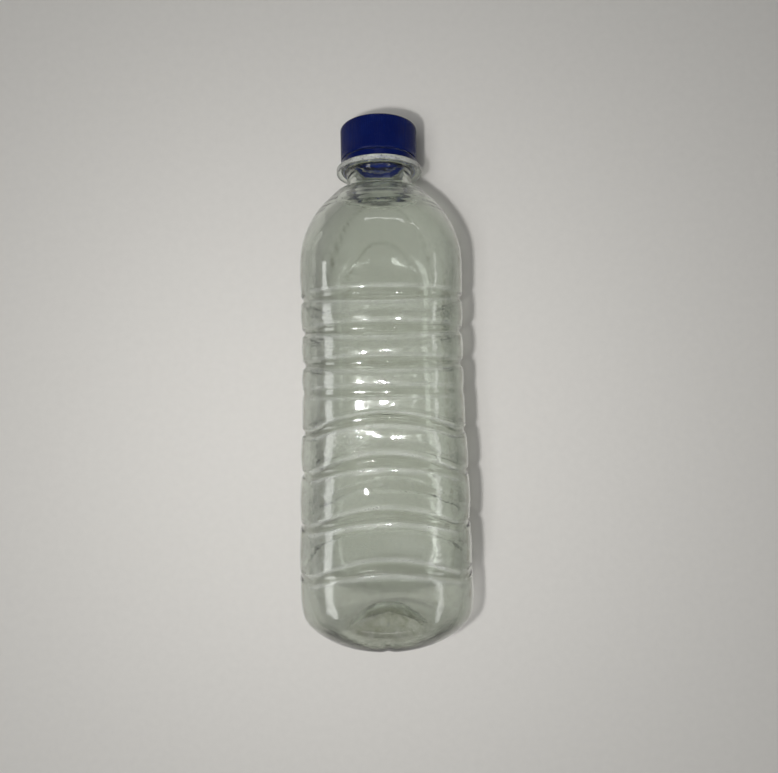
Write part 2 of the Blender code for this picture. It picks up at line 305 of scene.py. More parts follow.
def shoulderLine():
    # part of an ellipse that runs into a cone of 45 degrees, which ends in a crest below the neck.
    # The ellipse follows from where its slope has to reach 1: drop and run are its two legs there.
    s = bottleShape
    run = s["coneFoot"] - s["shoulderHeight"]
    drop = s["topHalfWidth"] - s["neckRadius"] - (s["coneTip"] - s["coneFoot"])
    share = drop / (run - drop)
    long = run / math.sqrt(1.0 - share ** 2)
    short = run * share / (1.0 - share ** 2)
    a = np.linspace(0.0, math.acos(share), 26)
    oval = np.stack([s["shoulderHeight"] + long * np.sin(a),
                     s["topHalfWidth"] - short * (1.0 - np.cos(a))], axis=1)
    height = np.linspace(s["coneFoot"], s["crestHeight"], 14)[1:]
    cone = np.stack([height, s["neckRadius"] + s["coneTip"] - height], axis=1)
    return np.concatenate([oval, cone])


def wallAt(height, width):
    # thick in the base, thin in the body, thicker again towards the crest below the neck
    s = bottleShape
    thick = 1.0 - ease(s["footRadius"], s["footRadius"] + s["baseThins"], width)
    base = (s["baseWall"] - s["bodyWall"]) * thick
    way = np.clip((height - s["crestFrom"]) / (s["crestHeight"] - s["crestFrom"]), 0.0, 1.0)
    crest = s["crestGain"] * way ** 2
    return s["bodyWall"] + np.where(height < s["shoulderHeight"], base, crest)


def ribDepth(label, middle):
    # each rib is a groove with a narrow floor and eased sides, wider and deeper in mid-face
    s = bottleShape
    halfWidth = s["ribNarrow"] + s["ribWiden"] * middle
    depth = np.zeros(np.broadcast(label, middle).shape)
    for centre, deep in s["archedRibs"] + s["straightRibs"]:
        depth += deep * (1.0 - ease(s["ribFloor"], halfWidth, np.abs(label - centre)))
    return depth * (s["ribSide"] + (1.0 - s["ribSide"]) * middle)


def ribEdge(label, middle):
    # 1 along both lips of each rib, fading within a millimetre
    s = bottleShape
    halfWidth = s["ribNarrow"] + s["ribWiden"] * middle
    edge = np.zeros(np.broadcast(label, middle).shape)
    for centre, _ in s["archedRibs"] + s["straightRibs"]:
        away = (np.abs(label - centre) - halfWidth) / s["lipWidth"]
        edge = np.maximum(edge, np.exp(-away ** 2))
    return edge


def crownSwell(label):
    # the skin swells between two ribs by sine squared of the way from one to the next. The narrow
    # panel above the arches rises evenly instead, which makes it level as the bottle lies.
    s = bottleShape
    centres = [c for c, _ in sorted(s["archedRibs"] + s["straightRibs"])]
    way = np.interp(label, centres, np.arange(len(centres)))
    low, high, slope = s["levelPanel"]
    inPanel = ease(low - 0.4, low + 0.4, label) * (1.0 - ease(high - 0.8, high + 0.8, label))
    gain = 1.0 + s["crownGain"] * ease(*s["crownFrom"], label)
    crown = s["crown"] * gain * np.sin(math.pi * way) ** 2
    return crown * (1.0 - inPanel) + slope * (label - low) * inPanel


def shoulderPanel(level, across):
    # arched panel sunk below the skin round it. Its edge is half an ellipse: q is 1 on that edge,
    # and (1 - q) over the steepness of q is how far inside it a point lies. Returns the depth,
    # and 1 along the edge.
    s = bottleShape
    rise = np.maximum(level - s["panelFoot"][0], 0.0) / s["panelRise"]
    side = across / s["panelHalfWidth"]
    q = np.hypot(rise, side) + 0.001
    steepness = np.hypot(rise / s["panelRise"], side / s["panelHalfWidth"]) / q + 0.001
    inside = (1.0 - q) / steepness
    foot, top = ease(*s["panelFoot"], level), ease(*s["panelTop"], level)
    depth = s["panelDepth"] * ease(0.0, s["panelEdge"], inside) * foot * (1.0 - top)
    edge = np.exp(-((inside - 0.5 * s["panelEdge"]) / s["panelLine"]) ** 2) * foot
    return depth, edge


def crushMarks(level, angle, width):
    # how far dents and creases push the skin towards the axis. A dent is a bell. A crease is a
    # narrow bell across its line, with a low ridge beside it, and it fades at both ends.
    push = 0.0
    for centre, direction, along, across, depth in dents:
        turn = np.angle(np.exp(1j * (angle - math.radians(direction)))) * width
        push = push + depth * np.exp(-((level - centre) / along) ** 2 - (turn / across) ** 2)
    for h0, d0, h1, d1, fold, depth in creases:
        turn = np.angle(np.exp(1j * (angle - math.radians(d0)))) * width
        spanH, spanT = h1 - h0, math.radians(d1 - d0) * bottleShape["topHalfWidth"]
        length = math.hypot(spanH, spanT)
        along = ((level - h0) * spanH + turn * spanT) / length
        away = ((level - h0) * spanT - turn * spanH) / length
        fade = ease(-2.0, 0.3 * length, along) * (1.0 - ease(0.7 * length, length + 2.0, along))
        ridge = ridgeShare * np.exp(-((away - ridgeOffset * fold) / fold) ** 2)
        push = push + depth * fade * (np.exp(-(away / fold) ** 2) - ridge)
    return push


def filmSlack(level, angle):
    # slack of thin film: a few long waves that never repeat together
    long = np.sin(0.31 * level + 2.0 * angle) * np.sin(0.17 * level - 3.0 * angle + 1.0)
    short = np.sin(0.53 * level + 5.0 * angle + 2.0) * np.sin(0.23 * level + angle)
    return bottleShape["slack"] * (1.0 + long + 0.6 * short)


def rootRipples(label, angle):
    # uneven skin below the neck: rings that wander as they go round
    s = bottleShape
    wander = 0.9 * np.sin(3.0 * angle + 0.8) + 0.6 * np.sin(7.0 * angle)
    wave = np.sin(2.0 * math.pi * label / s["rippleLength"] + wander)
    low, high = s["rippleFrom"]
    along = ease(low, low + 4.0, label) * (1.0 - ease(high - 4.0, high, label))
    return s["rippleDepth"] * wave * along


def squareShare(height):
    # 1 where the section is a rounded square, 0 where it is round: at the base and at the neck
    s = bottleShape
    return ease(*s["squareFrom"], height) * (1.0 - ease(*s["roundFrom"], height))


def faceMiddle(angle):
    # 1 at the middle of the upper and the lower face and 0 from their corners on: one minus the
    # square of x over z, to the power 1.5
    cos, sin = np.cos(angle), np.sin(angle)
    onFace = np.abs(sin) > np.abs(cos)
    return np.where(onFace, np.abs(np.cos(2.0 * angle)) / np.maximum(sin ** 2, 0.5), 0.0) ** 1.5


def restOnFloor(z, label, width):
    # the face underneath is stretched down to one level and stopped at the floor, without a kink
    s = bottleShape
    pressed = ease(*s["pressedFrom"], label) * (1.0 - ease(*s["pressedTo"], label))
    plain = np.where(label < s["heelHeight"], s["baseHalfWidth"],
                     bodyHalfWidth(np.minimum(label, s["shoulderHeight"])))
    z = np.where(z < 0.0, z * (1.0 + pressed * (s["baseHalfWidth"] / plain - 1.0)), z)
    wall = np.maximum(0.0, bodyHalfWidth(label) - width)
    inside = np.where(squareShare(label) > 0.5, s["floorWall"] * wall, 0.0)
    floorLevel = s["floorGap"] - axisHeight + inside
    return floorLevel + roundedRamp(z - floorLevel, s["floorRound"])


def blownSkin(label, height, width):
    # rings of a superellipse, round at the base and the neck. A ring climbs at the middle of the
    # upper and lower face where its rib is arched, sinks in at ribs, panels, dents and creases,
    # and is flat underneath. The label is the height of the ring at its corners. Returns the
    # points, and 1 along the edge of the shoulder's panel.
    s = bottleShape
    label, height, width = label[:, None], height[:, None], width[:, None]
    angle = directions(s["columns"])
    cos, sin = np.cos(angle), np.sin(angle)
    square, middle = squareShare(label), faceMiddle(angle)
    power = 2.0 + (s["squareness"] - 2.0) * square
    reach = (np.abs(cos) ** power + np.abs(sin) ** power) ** (-1.0 / power)
    # how far a ring climbs at the middle of a face
    low, high = s["archTo"]
    arched = ease(*s["archFrom"], label) * np.clip((high - label) / (high - low), 0.0, 1.0)
    climb = height + s["archRise"] * arched * middle
    level = label + s["archRise"] * arched * middle
    # a notch across the foot ring where the mould halves meet
    seam = np.exp(-(width * reach * cos / s["notchWidth"]) ** 2) * ease(*s["notchFrom"], width)
    climb = climb + s["notchDepth"] * seam * (1.0 - ease(*s["notchTo"], label))
    # ribs, crowns, panel and ripples move the skin along the radius
    onFace = np.abs(sin) > np.abs(cos)
    across = np.where(onFace, np.abs(width * reach * cos), 2.0 * s["panelHalfWidth"])
    sunk, panelLine = shoulderPanel(level, across)
    radial = width - ribDepth(label, middle) + crownSwell(label) * square - sunk
    radial = radial - rootRipples(label, angle)
    # dents, creases and slack push it towards the axis
    push = (crushMarks(level, angle, width) + filmSlack(level, angle)) * square
    x = radial * reach * cos - push * cos
    z = radial * reach * sin - push * sin
    z = restOnFloor(z, label, width)
    return np.stack([x, climb + baseY, z + axisHeight], axis=2), panelLine


def wearAndPaintedLight(label, width, panelLine):
    # dust, scuffs with painted highlight, and painted shade on the outside, at each point of its
    # rings
    s = bottleShape
    label, width = label[:, None], width[:, None]
    angle = directions(s["columns"])
    cos, sin = np.cos(angle), np.sin(angle)
    square, middle = squareShare(label), faceMiddle(angle)
    ribs, lips = ribDepth(label, middle), ribEdge(label, middle)
    patchy = 0.7 + 0.3 * np.sin(4.0 * angle + 0.9 * label) * np.sin(9.0 * angle + 1.7)
    # dust: more at the corners, on the crowns and on the lips of the ribs, less in the ribs; on the
    # lips it is partly a painted highlight
    corner = np.abs(np.sin(2.0 * angle)) ** 6 * square
    crown = s["dustCrown"] * (crownSwell(label) * square) / s["crown"] * middle
    dust = s["dustPlain"] + s["dustCorner"] * corner + crown + s["lipDustAndSheen"] * lips - ribs
    dust = np.clip(dust, 0.1, 1.0) * (1.0 - s["dustSpared"] * ease(*s["roundFrom"], label))
    # scuffs and painted highlight: on the lips of the ribs of the upper and the lower face, fewer
    # on the straight ribs
    fewer = 1.0 - 0.5 * ease(*s["scuffAndSheenFades"], label)
    scuffAndSheen = s["lipScuffAndSheen"] * fewer * lips * patchy * (np.abs(sin) > np.abs(cos))
    # painted shade: darker in the rib grooves, in a line along each corner, round the panel (more
    # on its -X side), and in the base
    folded = np.arctan2(np.abs(sin), np.abs(cos))
    offLine = (folded - math.radians(s["paintedShadeCorner"])) / math.radians(s["paintedShadeSpread"])
    line = s["paintedShadeLine"] * (np.exp(-offLine ** 2) * square) * patchy
    punt = (1.0 - ease(*s["paintedShadePunt"], width)) * (label < s["paintedShadeEnds"])
    heel = 1.0 - ease(*s["paintedShadeHeel"], label)
    paintedShade = np.maximum(s["paintedShadeGroove"] * ribs * patchy, line)
    paintedShade = np.maximum(paintedShade, s["paintedShadePanel"] * panelLine * (0.6 - 0.4 * cos))
    paintedShade = np.clip(paintedShade + s["paintedShadeBase"] * np.maximum(punt, 0.5 * heel), 0.0, 1.0)
    return dust, scuffAndSheen, paintedShade


neckShape = {
    "ringRadius": 16.5, "ringBottom": 176.05, "ringTop": 177.95,
    "ringRound": 0.35, "ringFillet": 0.6,
    "beadRadius": 13.9, "beadBottom": 181.1, "beadTop": 182.2, "beadLand": 0.45,
    "mouthHeight": 191.9, "mouthRound": 0.6, "taperTop": 183.0, "taperFoot": 174.2,
    "threadPitch": 2.7, "threadStart": 184.2, "threadTurns": 1.8, "threadHeight": 1.1,
    "threadWidth": 1.15, "ventSlots": 4,
}


def threadRidge(height, turnAngle, start, turns, halfWidth, slots):
    # right-hand helix about +Y: how far along the thread a point is says which pass it belongs
    # to, and its distance from that pass gives a ridge with sloping flanks. Vent slots cut it
    # from top to bottom.
    pitch = neckShape["threadPitch"]
    rotation = -turnAngle / (2.0 * math.pi)
    nearest = np.round((height - start) / pitch - rotation)
    away = np.abs(height - start - (nearest + rotation) * pitch)
    total = nearest + rotation
    ends = ease(0.0, 0.08, total) * (1.0 - ease(turns - 0.08, turns, total))
    ridge = (1.0 - ease(0.35 * halfWidth, halfWidth, away)) * ends
    if slots:
        ridge = ridge * ease(0.10, 0.20, np.abs(np.sin(0.5 * slots * turnAngle)))
    return ridge


def turnedGrid(height, radius, angle):
    # a profile turned about the bottle's axis
    x = radius * np.cos(angle)
    z = radius * np.sin(angle)
    return np.stack([x, height + baseY + 0.0 * x, z + axisHeight], axis=2)


def quarterRound(height, radius, size, up, steps=4):
    # quarter circle between a wall of this radius and a flat face at this height
    a = np.linspace(0.0, math.pi / 2.0, steps)
    heights = height - up * size * (1.0 - np.sin(a))
    return list(zip(heights, radius - size * (1.0 - np.cos(a))))


def bend(corners, count):
    # cubic Bezier curve through the first and the last of four corners
    t = np.linspace(0.0, 1.0, count)[:, None]
    a, b, c, d = np.array(corners)
    return (1 - t) ** 3 * a + 3 * t * (1 - t) ** 2 * b + 3 * t * t * (1 - t) * c + t ** 3 * d


def finishOutside():
    # ledge from the crest in to the neck, support ring with rounded rims, bead with a sloping top,
    # threaded wall, rounded lip
    n = neckShape
    wall = bottleShape["neckRadius"]
    crest = bottleShape["crestHeight"]
    crestRadius = wall + bottleShape["coneTip"] - crest
    ledge = bend([(crest, crestRadius), (crest + 0.6, crestRadius - 0.6),
                  (crest + 0.8, wall), (crest + 2.0, wall)], 10)
    fillet, under = n["ringFillet"], n["ringBottom"]
    corners = [tuple(ledge[-1]), (under - fillet, wall),
               (under - 0.3 * fillet, wall + 0.3 * fillet), (under, wall + fillet)]
    corners += quarterRound(under, n["ringRadius"], n["ringRound"], -1.0)[::-1]
    corners += quarterRound(n["ringTop"], n["ringRadius"], n["ringRound"], 1.0)
    corners += [(n["ringTop"], wall + 0.4), (n["ringTop"] + 0.3, wall),
                (n["beadBottom"], wall), (n["beadBottom"], n["beadRadius"] - 0.2),
                (n["beadBottom"] + 0.15, n["beadRadius"]),
                (n["beadBottom"] + n["beadLand"], n["beadRadius"]), (n["beadTop"], wall)]
    head = denseLine(corners, 0.9)[:-1]
    heights = np.arange(n["beadTop"], n["mouthHeight"] - n["mouthRound"], 0.3)
    threads = np.stack([heights, np.full(len(heights), wall)], axis=1)
    lip = quarterRound(n["mouthHeight"], wall, n["mouthRound"], 1.0)
    return np.concatenate([ledge[1:-1], head, threads, np.array(lip)])


def finishInside():
    # the bore from the mouth down: straight, narrower, a rounded rim, and out along the ledge
    s, n = bottleShape, neckShape
    bore, root, foot = s["boreRadius"], s["rootBore"], s["rootHeight"]
    mouth, high, low = n["mouthHeight"], n["taperTop"], n["taperFoot"]
    middle = 0.5 * (high + low)
    corners = [(mouth, bore + 0.3), (mouth - 0.3, bore), (high, bore)]
    taper = bend([(high, bore), (middle, bore), (middle, root), (low, root)], 14)
    rim = bend([(foot + 0.6, root), (foot + 0.2, root),
                (foot, root + 0.1), (foot - 0.25, root + 0.7)], 6)
    ledge = bend([(foot - 0.25, root + 0.7), (foot - 1.45, root + 4.0),
                  (foot - 1.95, root + 5.6), (foot - 2.5, root + 6.2)], 10)
    return np.concatenate([denseLine(corners, 1.5)[:-1], taper, rim[:-1], ledge])


# a spot of dried drops on the upper face: where it is, and its reach along and across the bottle
driedDrops = {"height": 75.5, "x": -11.0, "along": 4.5, "across": 4.0}


def makeBottle():
    # one closed skin: base, body, shoulder and finish outside, then back down the inside. The
    # inside lies one wall from the outside, square to it.
    s, n = bottleShape, neckShape
    outer = np.concatenate([puntLine(), heelLine(), bodyLine(), shoulderLine()])
    along = np.gradient(outer, axis=0)
    along = along / np.linalg.norm(along, axis=1)[:, None]
    wall = wallAt(outer[:, 0], outer[:, 1])
    inner = np.stack([outer[:, 0] + wall * along[:, 1], outer[:, 1] - wall * along[:, 0]], axis=1)
    kept = np.nonzero(inner[:, 0] < s["rootHeight"] - s["ledgeDrop"])[0]
    # the inside of the thin body needs only every other ring
    thin = (outer[kept, 0] > s["thinFrom"]) & (outer[kept, 0] < s["coneFoot"])
    kept = kept[~thin | (np.arange(len(kept)) % 2 == 0)][::-1]
    outSkin, panelLine = blownSkin(outer[:, 0], outer[:, 0], outer[:, 1])
    inSkin = blownSkin(outer[kept, 0], inner[kept, 0], inner[kept, 1])[0]
    angle = directions(s["columns"])
    line = finishOutside()
    height, radius = line[:, :1], line[:, 1:]
    ridge = threadRidge(height, angle, n["threadStart"], n["threadTurns"], n["threadWidth"],
                        n["ventSlots"])
    onWall = (np.abs(radius - s["neckRadius"]) < 0.01) & (height > n["beadTop"])
    neckOut = turnedGrid(height, radius + np.where(onWall, n["threadHeight"] * ridge, 0.0), angle)
    bore = finishInside()
    neckIn = turnedGrid(bore[:, :1], bore[:, 1:] + 0.0 * angle, angle)
    grid = np.concatenate([outSkin, neckOut, neckIn, inSkin])
    poles = [[0.0, baseY + outer[0, 0], axisHeight], [0.0, baseY + inner[0, 0], axisHeight]]
    piece = gridMesh("clearBottle", grid, s["sharpAngle"], poles)
    # wear and painted light: the outside is worn and carries painted highlights and painted shade,
    # the rim of the support ring is scuffed white by handling and painted lighter as a highlight,
    # and the inside is clean
    dust, scuffsAndSheen, paintedShade = wearAndPaintedLight(outer[:, 0], outer[:, 1], panelLine)
    ringMiddle = 0.5 * (n["ringBottom"] + n["ringTop"])
    rim = np.exp(-(height - ringMiddle) ** 4) * (radius > n["ringRadius"] - 0.5)
    rimScuffAndSheen = rim * (0.8 + 0.2 * np.sin(5.0 * angle) * np.sin(11.0 * angle + 1.0))
    clean = np.zeros((len(bore) + len(kept), s["columns"]))
    addMask(piece, "dust", np.concatenate([dust, 0.05 + 0.0 * rimScuffAndSheen, clean]))
    addMask(piece, "scuffAndSheen", np.concatenate([scuffsAndSheen, rimScuffAndSheen, clean]))
    addMask(piece, "paintedShade", np.concatenate([paintedShade, 0.0 * rimScuffAndSheen, clean]))
    # the spot of dried drops fades out as a bell: e to the minus of its distance squared
    x, height, z = grid[:, :, 0], grid[:, :, 1] - baseY, grid[:, :, 2]
    d = driedDrops
    spot = np.exp(-((height - d["height"]) / d["along"]) ** 2 - ((x - d["x"]) / d["across"]) ** 2)
    addMask(piece, "drops", spot * (z > axisHeight))
    # wrinkles at the corners of the body: the sine of twice the angle, to the power 10
    turn = np.arctan2(z - axisHeight, x)
    addMask(piece, "wrinkle", np.abs(np.sin(2.0 * turn)) ** 10 * squareShare(height))
    print("bottle skin:", grid.shape[0], "rings of", grid.shape[1], "points")
    return piece


bottle = makeBottle()
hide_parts("bottle")
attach(bottle, "bottle")


capShape = {
    "radius": 14.75, "bottom": 181.1, "ceiling": 192.2, "edgeRound": 1.1, "sharpAngle": 35.0,
    "ribs": 120, "pointsPerRib": 6, "ribDepth": 0.12,
    # inside: the lip's gap to the bead, the thread, and the plug that seals the mouth
    "lipGap": 0.32, "innerRadius": 13.95,
    "threadDepth": 0.95, "threadHalfWidth": 0.85, "threadTurns": 1.9,
    "plugRadius": 10.5, "plugWall": 1.15, "plugLength": 3.2,
}


def gripRibs(height, angle, low, high):
    # upright grip ribs: a cosine to the power 1.5 round the skirt, faded in and out along it
    c = capShape
    groove = 0.5 - 0.5 * np.cos(c["ribs"] * angle)
    fade = ease(low, low + 0.5, height) * (1.0 - ease(high - 0.8, high, height))
    return c["ribDepth"] * groove ** 1.5 * fade


def makeCap():
    # one closed skin: ceiling and plug, threaded inside, lip, ribbed skirt, rounded edge, top, as
    # one profile turned about the bottle's axis
    c, n = capShape, neckShape
    top = totalLength
    plugIn = c["plugRadius"] - c["plugWall"]
    plugFoot = c["ceiling"] - c["plugLength"]
    corners = [(c["ceiling"], 0.4), (c["ceiling"], plugIn), (plugFoot + 0.3, plugIn + 0.25),
               (plugFoot, plugIn + 0.5), (plugFoot, c["plugRadius"] - 0.5),
               (plugFoot + 0.5, c["plugRadius"]), (c["ceiling"], c["plugRadius"]),
               (c["ceiling"], c["innerRadius"] - 0.8)]
    inside = denseLine(corners, 2.0)
    heights = np.arange(c["ceiling"] - 0.3, n["beadTop"] + 0.4, -0.3)
    skirtIn = np.stack([heights, np.full(len(heights), c["innerRadius"])], axis=1)
    lipIn = n["beadRadius"] + c["lipGap"]
    lip = np.array([(n["beadTop"], lipIn), (c["bottom"] + 0.15, lipIn), (c["bottom"], lipIn + 0.1),
                    (c["bottom"], c["radius"] - 0.2), (c["bottom"] + 0.15, c["radius"] - 0.05)])
    skirt = (c["bottom"] + 0.3, c["bottom"] + 0.9, top - c["edgeRound"] - 0.9, top - c["edgeRound"])
    skirtOut = denseLine([(level, c["radius"]) for level in skirt], 0.9)
    edge = np.array(quarterRound(top, c["radius"], c["edgeRound"], 1.0, 8)[1:])
    # the top: a shallow dish inside a low rim, and the gate mark in the middle
    disc = np.array([(top - 0.02, 12.6), (top - 0.12, 12.2), (top - 0.15, 11.0), (top - 0.15, 6.0),
                     (top - 0.15, 1.6), (top - 0.05, 1.2), (top - 0.05, 0.5)])
    line = np.concatenate([inside, skirtIn, lip, skirtOut, edge, disc])
    columns = c["ribs"] * c["pointsPerRib"]
    angle = directions(columns)
    height, radius = line[:, :1], line[:, 1:]
    row = np.arange(len(line))[:, None]
    outside = len(inside) + len(skirtIn) + len(lip)
    onSkirt = (row >= outside) & (radius > c["radius"] - 0.6)
    grip = np.where(onSkirt, gripRibs(height, angle, c["bottom"] + 0.3, top - 0.5), 0.0)
    onThread = (row >= len(inside)) & (row < len(inside) + len(skirtIn))
    start = n["threadStart"] + n["threadPitch"] / 2.0
    ridge = threadRidge(height, angle, start, c["threadTurns"], c["threadHalfWidth"], 0)
    radius = radius - grip - np.where(onThread, c["threadDepth"] * ridge, 0.0)
    poles = [[0.0, baseY + c["ceiling"], axisHeight], [0.0, baseY + top - 0.05, axisHeight]]
    piece = gridMesh("screwCap", turnedGrid(height, radius, angle), c["sharpAngle"], poles)
    addMask(piece, "ridge", np.where(onSkirt, 1.0 - grip / c["ribDepth"], 0.0))
    # the inside, which is painted a brighter blue as painted light
    addMask(piece, "inner", np.where(row < len(inside) + len(skirtIn) + 2, 1.0, 0.0) + 0.0 * angle)
    print("cap:", len(line), "rings of", columns, "points")
    return piece


bandShape = {
    "radius": 14.75, "bore": 13.35, "bottom": 178.25, "top": 180.8,
    "columns": 480, "sharpAngle": 35.0,
    "bridges": 16, "stubHeight": 0.1, "fins": 24, "finHeight": 0.12,
}


def makeBand():
    # a turned ring: stubs of torn bridges stand on its top edge, and its bore has shallow fins.
    # Both are cosines of the angle, and those of the stubs are cut to their peaks.
    c = bandShape
    low, high, inner = c["bottom"], c["top"], c["bore"]
    corners = [(low, c["radius"] - 0.2), (low + 0.2, c["radius"] - 0.02),
               (high - 0.25, c["radius"] - 0.18), (high - 0.1, c["radius"] - 0.35),
               (high - 0.1, inner + 0.5), (high - 0.7, inner), (low, inner + 0.3)]
    line = denseLine(corners + [corners[0]], 0.5)[:-1]
    angle = directions(c["columns"])
    height, radius = line[:, :1], line[:, 1:]
    stub = ease(0.86, 0.97, np.cos(c["bridges"] * angle + 0.4 * np.sin(3.0 * angle)))
    ragged = c["stubHeight"] * stub + 0.02 * np.sin(37.0 * angle)
    fins = c["finHeight"] * (0.5 - 0.5 * np.cos(c["fins"] * angle))
    height = height + np.where(height > high - 0.15, ragged, 0.0)
    radius = radius + np.where(radius < inner + 0.35, fins, 0.0)
    piece = gridMesh("tamperBand", turnedGrid(height, radius, angle), c["sharpAngle"])
    # the bore, which is painted a brighter blue as painted light
    addMask(piece, "inner", np.where(line[:, 1:] < inner + 0.45, 1.0, 0.0) + 0.0 * angle)
    print("band:", len(line), "rings of", c["columns"], "points")
    return piece


cap = makeCap()
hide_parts("cap")
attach(cap, "cap")
band = makeBand()
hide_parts("tamper_band")
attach(band, "tamper_band")


petLook = {
    # the dust colour also paints the highlights on the rib lips and the ring's rim; the grey-green
    # one is painted shade
    "tint": "#f2f5f1", "dust": "#d2d0c6", "paintedShade": "#8c8c72",
    "ior": 1.575, "roughness": 0.035, "smudgeRoughness": 0.10,
    "mass": "#aab4a2", "density": 45.0, "shadowFacing": "#f8f9f7", "shadowEdge": "#332f24",
    "filmThin": 0.02, "filmSmeared": 0.10, "speckCover": 0.45, "scuffAndSheenCover": 0.8,
    # how far across each pattern's features are, in millimetres
    "smearSize": 18.2, "speckSize": 0.667, "blotchSize": 3.85, "peelSize": 4.17, "dropSize": 0.909,
    "wrinkleSize": 2.38,
    # how high each relief is, in millimetres
    "peelHeight": 0.4, "dropHeight": 0.4, "wrinkleHeight": 0.3,
}


def makeBlownPet():
    # PET, stretch-blown: clear, glossy and faintly smoky, with an orange-peel ripple, dust where
    # it was rubbed, finger smears, painted highlights on the rib lips and the ring's rim, painted
    # shade in its hollows, and a spot of dried drops
    material, tree = newMaterial("stretchBlownPet")
    k = petLook
    coords = addNode(tree, "ShaderNodeTexCoord")
    place = coords.outputs["Object"]
    dust = addNode(tree, "ShaderNodeAttribute", {"attribute_name": "dust"})
    # finger smears
    smear = addNode(tree, "ShaderNodeTexNoise",
                    {"Scale": noiseScale(k["smearSize"]), "Detail": 4.0, "Roughness": 0.6,
                     "Distortion": 0.8}, {"Vector": place})
    smearMask = addNode(tree, "ShaderNodeMapRange", {"From Min": 0.42, "From Max": 0.75},
                        {"Value": smear.outputs["Fac"]})
    rough = addNode(tree, "ShaderNodeMapRange",
                    {"To Min": k["roughness"], "To Max": k["smudgeRoughness"]},
                    {"Value": smearMask.outputs["Result"]})
    # dust specks on a thin film that is thicker in the smears; the dust mask also carries the
    # painted highlight on the rib lips
    speck = addNode(tree, "ShaderNodeTexNoise",
                    {"Scale": noiseScale(k["speckSize"]), "Detail": 2.0, "Roughness": 0.7},
                    {"Vector": place})
    speckMask = addNode(tree, "ShaderNodeMapRange",
                        {"From Min": 0.58, "From Max": 0.78, "To Max": k["speckCover"]},
                        {"Value": speck.outputs["Fac"]})
    film = addNode(tree, "ShaderNodeMapRange",
                   {"To Min": k["filmThin"], "To Max": k["filmSmeared"]},
                   {"Value": smearMask.outputs["Result"]})
    both = addNode(tree, "ShaderNodeMath", {"operation": "ADD"},
                   {0: speckMask.outputs["Result"], 1: film.outputs["Result"]})
    dusty = addNode(tree, "ShaderNodeMath", {"operation": "MULTIPLY"},
                    {0: both.outputs["Value"], 1: dust.outputs["Fac"]})
    # the ring's rim and the rib lips are whitened by fine scuffs, which follow the specks, and
    # partly painted lighter as a highlight
    scuffSheenGrain = addNode(tree, "ShaderNodeMapRange",
                    {"From Min": 0.3, "From Max": 0.6, "To Min": 0.35, "To Max": k["scuffAndSheenCover"]},
                    {"Value": speck.outputs["Fac"]})
    scuffAndSheen = addNode(tree, "ShaderNodeAttribute", {"attribute_name": "scuffAndSheen"})
    cover = addNode(tree, "ShaderNodeMath", {"operation": "MULTIPLY_ADD", "use_clamp": True},
                    {0: scuffSheenGrain.outputs["Result"], 1: scuffAndSheen.outputs["Fac"],
                     2: dusty.outputs["Value"]})
    clear = addNode(tree, "ShaderNodeMath", {"operation": "SUBTRACT", 0: 1.0},
                    {1: cover.outputs["Value"]})
    # painted shade darkens the plastic, in blotches
    paintedShade = addNode(tree, "ShaderNodeAttribute", {"attribute_name": "paintedShade"})
    blotch = addNode(tree, "ShaderNodeTexNoise",
                     {"Scale": noiseScale(k["blotchSize"]), "Detail": 4.0, "Roughness": 0.65},
                     {"Vector": place})
    blotchMask = addNode(tree, "ShaderNodeMapRange",
                         {"From Min": 0.35, "From Max": 0.65, "To Min": 0.55},
                         {"Value": blotch.outputs["Fac"]})
    paintedShadeShare = addNode(tree, "ShaderNodeMath", {"operation": "MULTIPLY"},
                    {0: paintedShade.outputs["Fac"], 1: blotchMask.outputs["Result"]})
    tintedAndShaded = addNode(tree, "ShaderNodeMix",
                     {"data_type": "RGBA", 6: linearColour(k["tint"]), 7: linearColour(k["paintedShade"])},
                     {0: paintedShadeShare.outputs["Value"]})
    colour = addNode(tree, "ShaderNodeMix", {"data_type": "RGBA", 7: linearColour(k["dust"])},
                     {0: cover.outputs["Value"], 6: tintedAndShaded.outputs[2]})
    # orange peel of the blown skin, and the dried drops in their spot
    peel = addNode(tree, "ShaderNodeTexNoise", {"Scale": noiseScale(k["peelSize"]), "Detail": 2.0},
                   {"Vector": place})
    bump = addNode(tree, "ShaderNodeBump", {"Strength": 0.25, "Distance": k["peelHeight"] * mm},
                   {"Height": peel.outputs["Fac"]})
    spot = addNode(tree, "ShaderNodeAttribute", {"attribute_name": "drops"})
    drop = addNode(tree, "ShaderNodeTexVoronoi",
                   {"Scale": noiseScale(k["dropSize"]), "feature": "SMOOTH_F1"}, {"Vector": place})
    dropHeight = addNode(tree, "ShaderNodeMath", {"operation": "MULTIPLY"},
                         {0: drop.outputs["Distance"], 1: spot.outputs["Fac"]})
    # fine wrinkles where the skin is folded round the corners
    fold = addNode(tree, "ShaderNodeTexNoise",
                   {"Scale": noiseScale(k["wrinkleSize"]), "Detail": 2.0}, {"Vector": place})
    folded = addNode(tree, "ShaderNodeAttribute", {"attribute_name": "wrinkle"})
    foldHeight = addNode(tree, "ShaderNodeMath", {"operation": "MULTIPLY"},
                         {0: fold.outputs["Fac"], 1: folded.outputs["Fac"]})
    wrinkled = addNode(tree, "ShaderNodeBump",
                       {"Strength": 0.3, "Distance": k["wrinkleHeight"] * mm},
                       {"Height": foldHeight.outputs["Value"], "Normal": bump.outputs["Normal"]})
    wet = addNode(tree, "ShaderNodeBump", {"Strength": 0.8, "Distance": k["dropHeight"] * mm},
                  {"Height": dropHeight.outputs["Value"], "Normal": wrinkled.outputs["Normal"]})
    shader = addNode(tree, "ShaderNodeBsdfPrincipled", {"IOR": k["ior"]},
                     {"Base Color": colour.outputs[2], "Roughness": rough.outputs["Result"],
                      "Transmission Weight": clear.outputs["Value"],
                      "Normal": wet.outputs["Normal"]})
